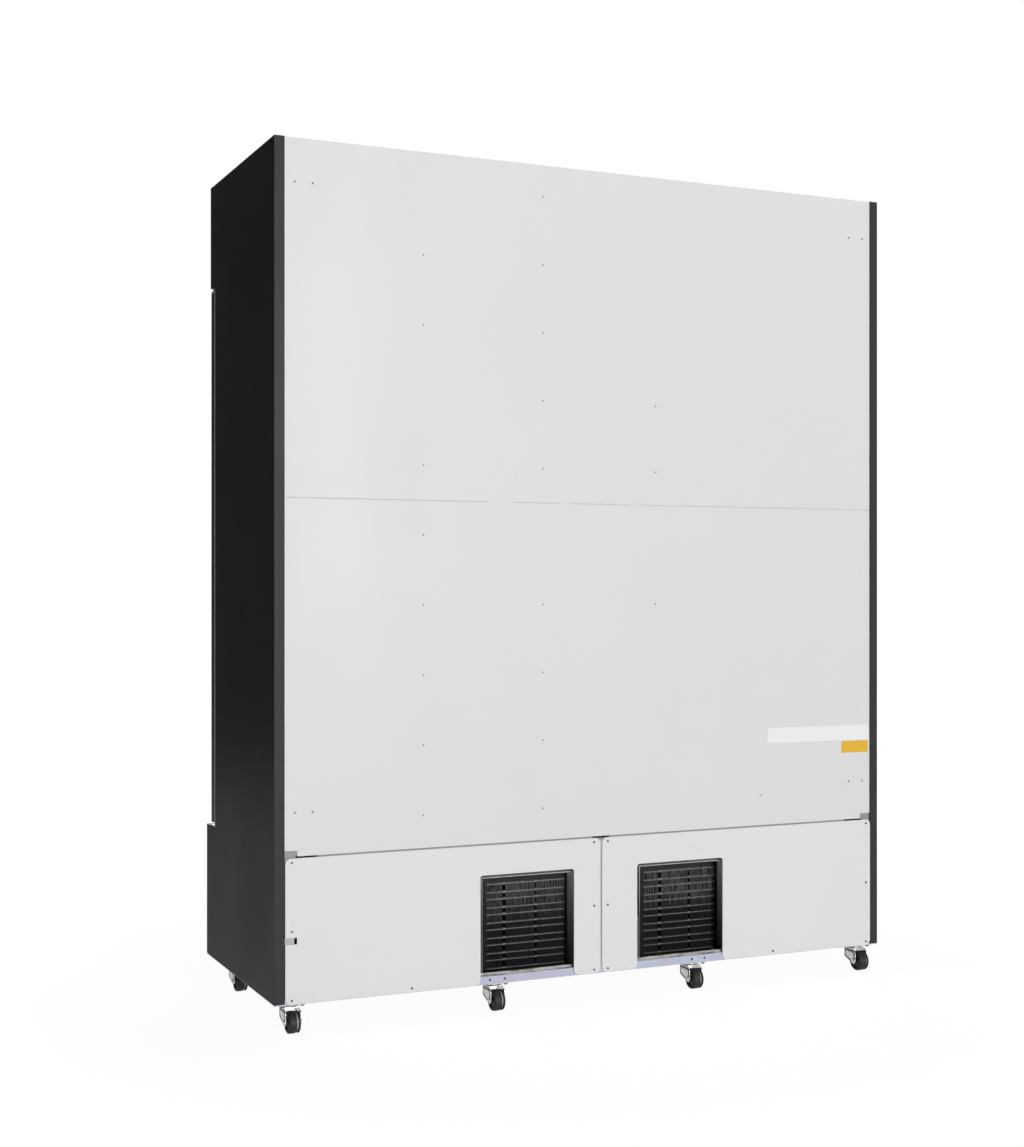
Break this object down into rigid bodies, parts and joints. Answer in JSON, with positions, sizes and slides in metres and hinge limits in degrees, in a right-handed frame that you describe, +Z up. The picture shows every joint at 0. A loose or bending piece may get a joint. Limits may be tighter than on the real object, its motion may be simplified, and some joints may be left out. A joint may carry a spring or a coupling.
{
  "type": "glass door refrigerator",
  "caption": "free-standing upright refrigerator with hinged glass doors, lit canopy, shelves, rear service covers over its condensers and small swivel casters",
  "frame": {"origin": "on the floor, under the middle of the cabinet's width and depth", "axes": "+Z up, the doors face -Y, +X is the side of the door pair that hinges the same way"},
  "size_m": [1.615, 0.606, 1.9915],
  "materials": {
    "black_paint": "satin black enamel, slightly worn",
    "grey_panel": "coated sheet, light grey, low gloss",
    "base_steel": "galvanised sheet with a cool grey film",
    "galvanised": "galvanised sheet with faint spangle",
    "foam": "rigid insulation foam, fine pores",
    "white_liner": "white coated liner sheet, low gloss",
    "sign_white": "blank opal sheet",
    "lamp": "diffuser of a lamp strip",
    "door_black": "black coated aluminium section, satin",
    "pane": "clear pane",
    "seal": "soft grey magnetic seal",
    "handle": "satin anodised bar",
    "zinc": "bright zinc plate",
    "screw": "darkened steel screws",
    "shelf_wire": "white coated wire",
    "fin_aluminium": "thin fins, dusty",
    "copper": "copper tube, dulled",
    "shroud_steel": "galvanised sheet, dusty",
    "motor": "laminated motor body, dark",
    "compressor_black": "black enamel on a steel shell",
    "fan_plastic": "black moulded blades",
    "tread": "hard black tread and hub"
  },
  "bodies": {
    "cabinet": {"back_panel_lower": "grey_panel", "back_panel_upper": "grey_panel", "base_frame": "base_steel", "canopy_housing": "black_paint", "caster_plates": "zinc", "compressors": "compressor_black", "condenser_fins": "fin_aluminium", "condenser_shrouds": "shroud_steel", "condenser_tubes": "copper", "evaporator_coil": "fin_aluminium", "evaporator_cover": "white_liner", "fan_motors": "motor", "foam_body": "foam", "front_frame": "black_paint", "front_grille": "black_paint", "hinge_plates": "zinc", "led_strips": "lamp", "liner": "white_liner", "rear_cover_left": "grey_panel", "rear_cover_right": "grey_panel", "rear_screws": "screw", "shelf_standards": "white_liner", "shelves": "shelf_wire", "side_panel_left": "black_paint", "side_panel_right": "black_paint", "sign_panel": "sign_white", "top_panel": "grey_panel", "unit_trays": "galvanised"},
    "door_left": {"door_frame_left": "door_black", "door_glass_left": "pane", "door_gasket_left": "seal", "door_handle_left": "handle"},
    "door_centre": {"door_frame_centre": "door_black", "door_glass_centre": "pane", "door_gasket_centre": "seal", "door_handle_centre": "handle"},
    "door_right": {"door_frame_right": "door_black", "door_glass_right": "pane", "door_gasket_right": "seal", "door_handle_right": "handle"},
    "condenser_fan_left": {"condenser_fan_left": "fan_plastic"},
    "evaporator_fan_left": {"evaporator_fan_left": "fan_plastic"},
    "condenser_fan_right": {"condenser_fan_right": "fan_plastic"},
    "evaporator_fan_right": {"evaporator_fan_right": "fan_plastic"},
    "caster_fork_rear_left": {"caster_fork_rear_left": "zinc"},
    "caster_wheel_rear_left": {"caster_wheel_rear_left": "tread"},
    "caster_fork_rear_inner_left": {"caster_fork_rear_inner_left": "zinc"},
    "caster_wheel_rear_inner_left": {"caster_wheel_rear_inner_left": "tread"},
    "caster_fork_rear_inner_right": {"caster_fork_rear_inner_right": "zinc"},
    "caster_wheel_rear_inner_right": {"caster_wheel_rear_inner_right": "tread"},
    "caster_fork_rear_right": {"caster_fork_rear_right": "zinc"},
    "caster_wheel_rear_right": {"caster_wheel_rear_right": "tread"},
    "caster_fork_front_left": {"caster_fork_front_left": "zinc"},
    "caster_wheel_front_left": {"caster_wheel_front_left": "tread"},
    "caster_fork_front_inner_left": {"caster_fork_front_inner_left": "zinc"},
    "caster_wheel_front_inner_left": {"caster_wheel_front_inner_left": "tread"},
    "caster_fork_front_inner_right": {"caster_fork_front_inner_right": "zinc"},
    "caster_wheel_front_inner_right": {"caster_wheel_front_inner_right": "tread"},
    "caster_fork_front_right": {"caster_fork_front_right": "zinc"},
    "caster_wheel_front_right": {"caster_wheel_front_right": "tread"}
  },
  "joints": [
    {"name": "door_right_hinge", "type": "hinge", "parent": "cabinet", "child": "door_right", "pos_m": [0.794, -0.2505, 1.067], "axis": [0, 0, 1], "range_deg": [0, 100], "stiffness_Nm_per_rad": 2, "springref_deg": -11.46},
    {"name": "door_centre_hinge", "type": "hinge", "parent": "cabinet", "child": "door_centre", "pos_m": [0.2535, -0.2505, 1.067], "axis": [0, 0, 1], "range_deg": [0, 100], "stiffness_Nm_per_rad": 2, "springref_deg": -11.46},
    {"name": "door_left_hinge", "type": "hinge", "parent": "cabinet", "child": "door_left", "pos_m": [-0.794, -0.2505, 1.067], "axis": [0, 0, -1], "range_deg": [0, 100], "stiffness_Nm_per_rad": 2, "springref_deg": -11.46},
    {"name": "condenser_fan_right_spin", "type": "hinge", "parent": "cabinet", "child": "condenser_fan_right", "pos_m": [0.187, 0.172, 0.19], "axis": [0, 1, 0], "continuous": true},
    {"name": "condenser_fan_left_spin", "type": "hinge", "parent": "cabinet", "child": "condenser_fan_left", "pos_m": [-0.228, 0.172, 0.19], "axis": [0, 1, 0], "continuous": true},
    {"name": "evaporator_fan_right_spin", "type": "hinge", "parent": "cabinet", "child": "evaporator_fan_right", "pos_m": [0.25, -0.136, 1.8544], "axis": [0, 1, 0], "continuous": true},
    {"name": "evaporator_fan_left_spin", "type": "hinge", "parent": "cabinet", "child": "evaporator_fan_left", "pos_m": [-0.25, -0.136, 1.8544], "axis": [0, 1, 0], "continuous": true},
    {"name": "caster_rear_left_swivel", "type": "hinge", "parent": "cabinet", "child": "caster_fork_rear_left", "pos_m": [-0.764, 0.258, 0.058], "axis": [0, 0, 1], "continuous": true},
    {"name": "caster_rear_left_roll", "type": "hinge", "parent": "caster_fork_rear_left", "child": "caster_wheel_rear_left", "pos_m": [-0.764, 0.278, 0.025], "axis": [1, 0, 0], "continuous": true},
    {"name": "caster_rear_inner_left_swivel", "type": "hinge", "parent": "cabinet", "child": "caster_fork_rear_inner_left", "pos_m": [-0.271, 0.258, 0.058], "axis": [0, 0, 1], "continuous": true},
    {"name": "caster_rear_inner_left_roll", "type": "hinge", "parent": "caster_fork_rear_inner_left", "child": "caster_wheel_rear_inner_left", "pos_m": [-0.271, 0.278, 0.025], "axis": [1, 0, 0], "continuous": true},
    {"name": "caster_rear_inner_right_swivel", "type": "hinge", "parent": "cabinet", "child": "caster_fork_rear_inner_right", "pos_m": [0.264, 0.258, 0.058], "axis": [0, 0, 1], "continuous": true},
    {"name": "caster_rear_inner_right_roll", "type": "hinge", "parent": "caster_fork_rear_inner_right", "child": "caster_wheel_rear_inner_right", "pos_m": [0.264, 0.278, 0.025], "axis": [1, 0, 0], "continuous": true},
    {"name": "caster_rear_right_swivel", "type": "hinge", "parent": "cabinet", "child": "caster_fork_rear_right", "pos_m": [0.7605, 0.258, 0.058], "axis": [0, 0, 1], "continuous": true},
    {"name": "caster_rear_right_roll", "type": "hinge", "parent": "caster_fork_rear_right", "child": "caster_wheel_rear_right", "pos_m": [0.7605, 0.278, 0.025], "axis": [1, 0, 0], "continuous": true},
    {"name": "caster_front_left_swivel", "type": "hinge", "parent": "cabinet", "child": "caster_fork_front_left", "pos_m": [-0.764, -0.178, 0.058], "axis": [0, 0, 1], "continuous": true},
    {"name": "caster_front_left_roll", "type": "hinge", "parent": "caster_fork_front_left", "child": "caster_wheel_front_left", "pos_m": [-0.764, -0.158, 0.025], "axis": [1, 0, 0], "continuous": true},
    {"name": "caster_front_inner_left_swivel", "type": "hinge", "parent": "cabinet", "child": "caster_fork_front_inner_left", "pos_m": [-0.271, -0.178, 0.058], "axis": [0, 0, 1], "continuous": true},
    {"name": "caster_front_inner_left_roll", "type": "hinge", "parent": "caster_fork_front_inner_left", "child": "caster_wheel_front_inner_left", "pos_m": [-0.271, -0.158, 0.025], "axis": [1, 0, 0], "continuous": true},
    {"name": "caster_front_inner_right_swivel", "type": "hinge", "parent": "cabinet", "child": "caster_fork_front_inner_right", "pos_m": [0.264, -0.178, 0.058], "axis": [0, 0, 1], "continuous": true},
    {"name": "caster_front_inner_right_roll", "type": "hinge", "parent": "caster_fork_front_inner_right", "child": "caster_wheel_front_inner_right", "pos_m": [0.264, -0.158, 0.025], "axis": [1, 0, 0], "continuous": true},
    {"name": "caster_front_right_swivel", "type": "hinge", "parent": "cabinet", "child": "caster_fork_front_right", "pos_m": [0.7605, -0.178, 0.058], "axis": [0, 0, 1], "continuous": true},
    {"name": "caster_front_right_roll", "type": "hinge", "parent": "caster_fork_front_right", "child": "caster_wheel_front_right", "pos_m": [0.7605, -0.158, 0.025], "axis": [1, 0, 0], "continuous": true}
  ]
}
